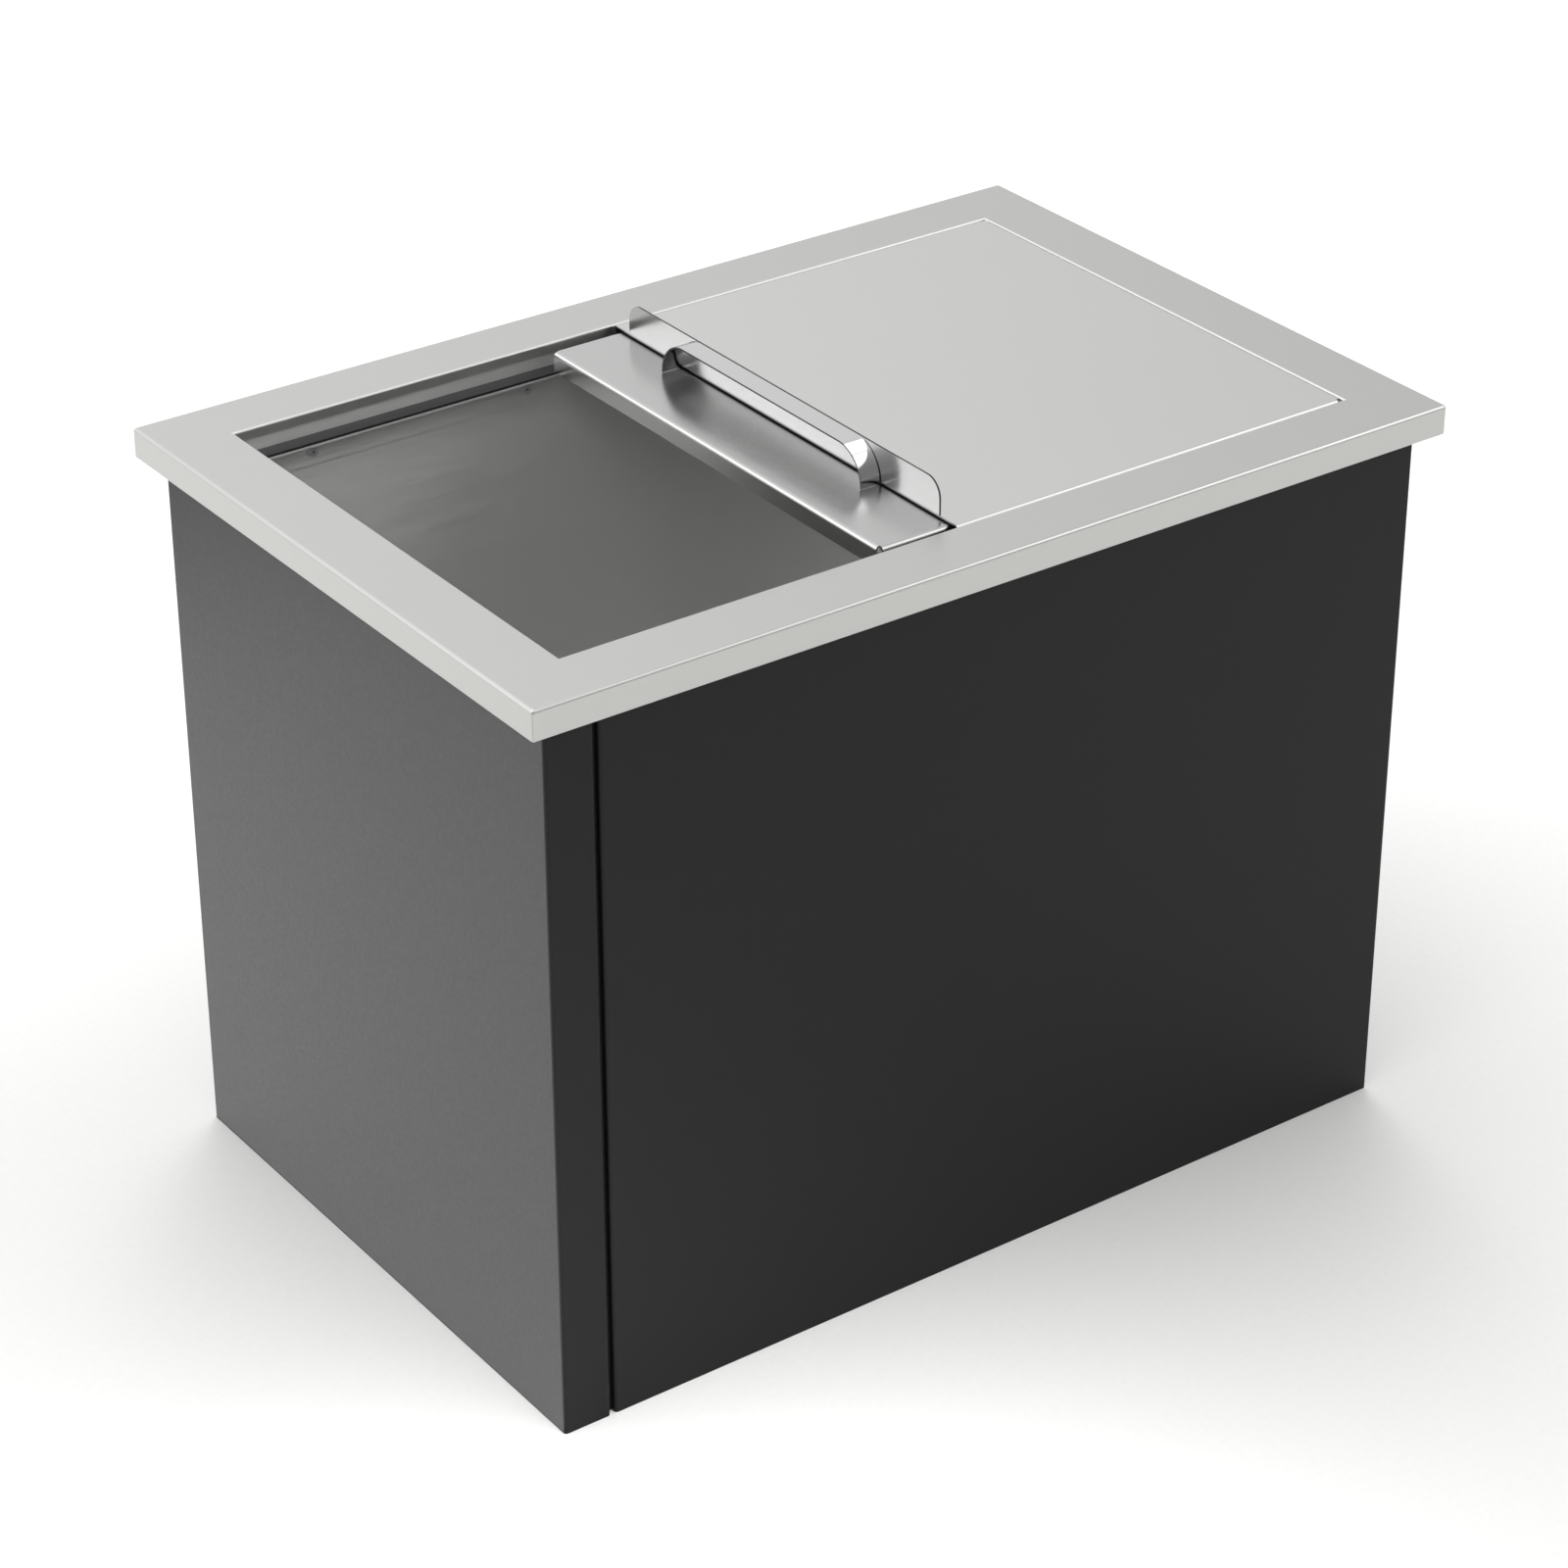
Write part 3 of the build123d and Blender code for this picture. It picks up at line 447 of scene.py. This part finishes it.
finishes = {
    "rim_steel": rimSheet["material"],
    "cover_steel": coverSheet["material"],
    "bright_steel": upstandSheet["material"],
    "well_steel": wellSheet["material"],
    "casing_black": powderCoat(),
    "rivet_aluminium": rivetAlloy(),
    "foam": cutFoam(),
    "glide_nylon": blackNylon(),
    "gasket_rubber": gasketRubber(),
    "drain_steel": turnedDrain(),
    "plated_brass": platedBrass(),
    "seat_plastic": seatPlastic(),
    "valve_steel": valveSteel(),
    "zinc_steel": zincPlate(),
    "sleeve_vinyl": dippedVinyl(),
}
# these two share the upstand's slot, and differ from it in how they were polished and cut
ownFinish = {"lower_cover": lowerCoverSheet["material"], "finger_hood": hoodSheet["material"]}
for name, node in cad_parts.items():
    for i, packed in enumerate(list(node.data.materials)):
        node.data.materials[i] = ownFinish.get(name, finishes[packed.name])
print("finished", len(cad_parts), "nodes in", len(finishes) + len(ownFinish), "finishes")


def addObject(name, data):
    added = bpy.data.objects.new(name, data)
    bpy.context.scene.collection.objects.link(added)
    return added


def addMesh(name, mesh, finish):
    data = bpy.data.meshes.new(name)
    mesh.to_mesh(data)
    mesh.free()
    data.materials.append(finish)
    return addObject(name, data)


# The hood was brazed to the upstand. Its joint is drawn as a dark line, painted shade in the corner between
# them, that thins out towards the top.
hoodJoint = {
    "radius": 0.55, "rounding": 3, "thinned": 0.8,
    "straight": 0.6, "outside": 0.10, "turn": 72.0, "steps": 18,
}


def makeHoodJoint(name, side, finish):
    low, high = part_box("finger_hood")
    face = high[0]                                  # the upstand's left face
    bend = high[2] - low[2] - hoodJoint["straight"] * mm
    middle = Vector((face, side * (high[1] - bend), low[2] + hoodJoint["straight"] * mm))
    reach = bend + hoodJoint["outside"] * mm
    points = [(Vector((face, middle.y + side * reach, low[2])), 1.0)]
    for i in range(hoodJoint["steps"] + 1):
        share = i / hoodJoint["steps"]
        turn = math.radians(hoodJoint["turn"]) * share
        at = middle + Vector((0, side * reach * math.cos(turn), reach * math.sin(turn)))
        points.append((at, 1.0 - hoodJoint["thinned"] * share))
    curve = bpy.data.curves.new(name, "CURVE")
    curve.dimensions = "3D"
    curve.bevel_depth = hoodJoint["radius"] * mm
    curve.bevel_resolution = hoodJoint["rounding"]
    curve.use_fill_caps = True
    spline = curve.splines.new("POLY")
    spline.points.add(len(points) - 1)
    for point, (at, thickness) in zip(spline.points, points):
        point.co = (*at, 1.0)
        point.radius = thickness
    curve.materials.append(finish)
    joint = addObject(name, curve)
    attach(joint, "upper_cover")


jointAndCreviceShadeFinish = brazedJointAndCreviceShade()
makeHoodJoint("hood_joint_front", -1, jointAndCreviceShadeFinish)
makeHoodJoint("hood_joint_rear", 1, jointAndCreviceShadeFinish)

# Each rail rivet keeps the snapped end of its pin, a little proud of the head.
rivetPin = {
    "perRail": 4, "headRadius": 3.2, "radius": 0.95, "proud": 0.25, "sunk": 0.6, "edge": 0.25, "sides": 20,
    "headFace": 2.2,
}


def addPin(mesh, side, x, face, height):
    # a short round stub with a bevelled end, which looks into the well from the front or the rear rail
    outline = [
        (rivetPin["radius"], -rivetPin["sunk"]),
        (rivetPin["radius"], rivetPin["proud"] - rivetPin["edge"]),
        (rivetPin["radius"] - rivetPin["edge"], rivetPin["proud"]),
    ]
    rings = []
    for radius, out in outline:
        ring = []
        for j in range(rivetPin["sides"]):
            angle = side * 2 * math.pi * j / rivetPin["sides"]
            across, up = radius * mm * math.cos(angle), radius * mm * math.sin(angle)
            ring.append(mesh.verts.new((x + across, side * (face - out * mm), height + up)))
        rings.append(ring)
    for a, b in zip(rings, rings[1:]):
        for j in range(rivetPin["sides"]):
            k = (j + 1) % rivetPin["sides"]
            mesh.faces.new((a[j], a[k], b[k], b[j]))
    mesh.faces.new(rings[-1])
    mesh.faces.new(reversed(rings[0]))


def makeRivetPins():
    low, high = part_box("rail_rivets")
    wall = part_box("rear_rail")[1][1]                # the well's rear wall, which the rear rail lies against
    face = wall - rivetPin["headFace"] * mm         # the flat of a rivet's head
    last = high[0] - rivetPin["headRadius"] * mm
    height = (low[2] + high[2]) / 2
    mesh = bmesh.new()
    for side in (-1, 1):
        for i in range(rivetPin["perRail"]):
            x = -last + 2 * last * i / (rivetPin["perRail"] - 1)
            addPin(mesh, side, x, face, height)
    bmesh.ops.recalc_face_normals(mesh, faces=mesh.faces)
    pins = addMesh("rivet_pins", mesh, rivetCore())
    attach(pins, "bin")


makeRivetPins()
print("joint lines and rivet pins made")


# A plain pale floor of matt paper, round so that it has no corner in any view. Its fibres hardly show.
paper = {
    "radius": 9.0, "segments": 96, "drop": 0.0002, "dark": "#EEEEED", "light": "#F4F4F3",
    "rough": (0.88, 0.95), "relief": 0.03, "fibre": 4.0,
}


def makeFloor():
    mesh = bmesh.new()
    bmesh.ops.create_circle(mesh, cap_ends=True, radius=paper["radius"], segments=paper["segments"])
    material, tree, shader, place = startMaterial(
        "matt_white_paper", {"IOR": 1.45, "Specular IOR Level": 0.2}
    )
    wearPattern(tree, shader, paper, grainPattern(tree, place, paper["fibre"], "craggy"))
    floor = addMesh("studio_floor", mesh, material)
    floor.location.z = -paper["drop"]


# The air of a white studio: an even glow, and soft patches where a pale wall and a panel stand. Heading is in
# degrees from the bin's back towards its right end, up is above the floor.
sky = {
    "colour": "#FFFFFF",
    "even": 0.45,
    "shown": 1.0,
    "patches": {
        "left wall": {"heading": -30, "up": 35, "inner": 0, "outer": 100, "adds": 0.75},
        "right panel": {"heading": 117, "up": 33, "inner": 4, "outer": 30, "adds": 2.0},
    },
}


def direction(heading, up):
    turn, rise = math.radians(heading), math.radians(up)
    return Vector((math.sin(turn) * math.cos(rise), math.cos(turn) * math.cos(rise), math.sin(rise)))


def makeSky():
    world = bpy.data.worlds.new("studio_air")
    bpy.context.scene.world = world
    world.use_nodes = True
    tree = world.node_tree
    ahead = addNode(tree, "ShaderNodeTexCoord").outputs["Generated"]
    total = addNode(tree, "ShaderNodeValue").outputs[0]
    total.default_value = sky["even"]
    for patch in sky["patches"].values():
        facing = addNode(
            tree, "ShaderNodeVectorMath",
            {"operation": "DOT_PRODUCT", 1: direction(patch["heading"], patch["up"])}, {0: ahead},
        ).outputs["Value"]
        glow = addNode(
            tree, "ShaderNodeMapRange",
            {
                "interpolation_type": "SMOOTHSTEP", "From Min": math.cos(math.radians(patch["outer"])),
                "From Max": math.cos(math.radians(patch["inner"])), "To Min": 0.0, "To Max": patch["adds"],
            },
            {"Value": facing},
        ).outputs[0]
        total = addNode(tree, "ShaderNodeMath", {"operation": "ADD"}, {0: total, 1: glow}).outputs[0]
    # behind the bin the air itself shows as plain white
    seen = addNode(tree, "ShaderNodeLightPath").outputs["Is Camera Ray"]
    strength = addNode(
        tree, "ShaderNodeMix", {"data_type": "FLOAT", 3: sky["shown"]}, {0: seen, 2: total}
    ).outputs[0]
    background = tree.nodes["Background"]
    background.inputs["Color"].default_value = linearColour(sky["colour"])
    tree.links.new(strength, background.inputs["Strength"])


softboxes = {
    # place, what it is aimed at, width and height in metres, power in watts, how wide it shines in degrees
    # if that is less than the half circle, and the pieces that alone get it
    "overhead": {"at": (-0.4, 0.3, 2.8), "aim": (-0.4, 0.0, 0.3), "size": (2.4, 2.4), "power": 17.0},
    "left": {"at": (-2.2, 1.2, 1.7), "aim": (-0.4, 0.3, 0.0), "size": (1.4, 1.4), "power": 6.5},
    "floor wash": {
        "at": (1.3, 1.7, 1.6), "aim": (1.3, 1.7, 0.0), "size": (1.4, 1.4), "power": 18.0,
        "only": ("studio_floor",),
    },
    "front wash": {
        "at": (-0.36, -0.44, 0.80), "aim": (-0.36, -0.40, 0.0), "size": (0.35, 0.35), "power": 0.80,
        "spread": 65.0, "only": ("studio_floor",),
    },
    "bend glow": {
        "at": (-0.99, 1.63, 1.6), "aim": (-0.06, 0.0, 0.455), "size": (0.7, 0.7), "power": 3.4,
        "only": ("lower_cover",),
    },
    "hood glow": {
        "at": (1.13, 0.21, 2.34), "aim": (0.0, -0.09, 0.47), "size": (1.3, 1.0), "power": 8.0,
        "only": ("finger_hood",),
    },
    "side glow": {
        "at": (-0.65, 0.355, 0.0006), "aim": (-0.65, 0.355, 1.0), "size": (0.80, 1.09), "power": 4.9,
        "only": ("rear_left_panel",),
    },
    "well glow": {
        "at": (-0.62, -0.30, 1.1), "aim": (-0.15, 0.10, 0.40), "size": (0.5, 0.5), "power": 26.0,
        "only": ("inner_tub", "front_rail", "rear_rail", "rail_rivets"),
    },
}
halfCircle = 180.0


def makeLights():
    for name, box in softboxes.items():
        data = bpy.data.lights.new(name, "AREA")
        data.shape = "RECTANGLE"
        data.size, data.size_y = box["size"]
        data.energy = box["power"]
        data.spread = math.radians(box.get("spread", halfCircle))
        light = addObject(name, data)
        light.location = box["at"]
        light.rotation_euler = (Vector(box["aim"]) - Vector(box["at"])).to_track_quat("-Z", "Y").to_euler()
        light.visible_camera = False
        if "only" in box:
            lit = bpy.data.collections.new(name + " receivers")
            for node in box["only"]:
                lit.objects.link(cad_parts.get(node) or bpy.data.objects[node])
            light.light_linking.receiver_collection = lit


# Found by matching the rim's and the casing's corners to the photograph. The lens is for a 36 mm sensor.
viewpoint = {
    "aim": (-0.0073, -0.0042, 0.2259), "heading": 35.80, "down": 29.57, "roll": 0.08, "distance": 2.6056,
    "lens": 103.0, "sensor": 36.0, "near": 0.05, "far": 50.0,
}


def makeCamera():
    data = bpy.data.cameras.new("camera")
    data.lens, data.sensor_width = viewpoint["lens"], viewpoint["sensor"]
    data.clip_start, data.clip_end = viewpoint["near"], viewpoint["far"]
    camera = addObject("camera", data)
    ahead = direction(viewpoint["heading"], -viewpoint["down"])
    camera.location = Vector(viewpoint["aim"]) - ahead * viewpoint["distance"]
    level = math.radians(90)
    camera.rotation_euler = (
        level - math.radians(viewpoint["down"]), math.radians(viewpoint["roll"]),
        -math.radians(viewpoint["heading"]),
    )
    bpy.context.scene.camera = camera


makeFloor()
makeSky()
makeLights()
makeCamera()
bpy.context.scene.view_settings.view_transform = "Standard"
print("studio ready")
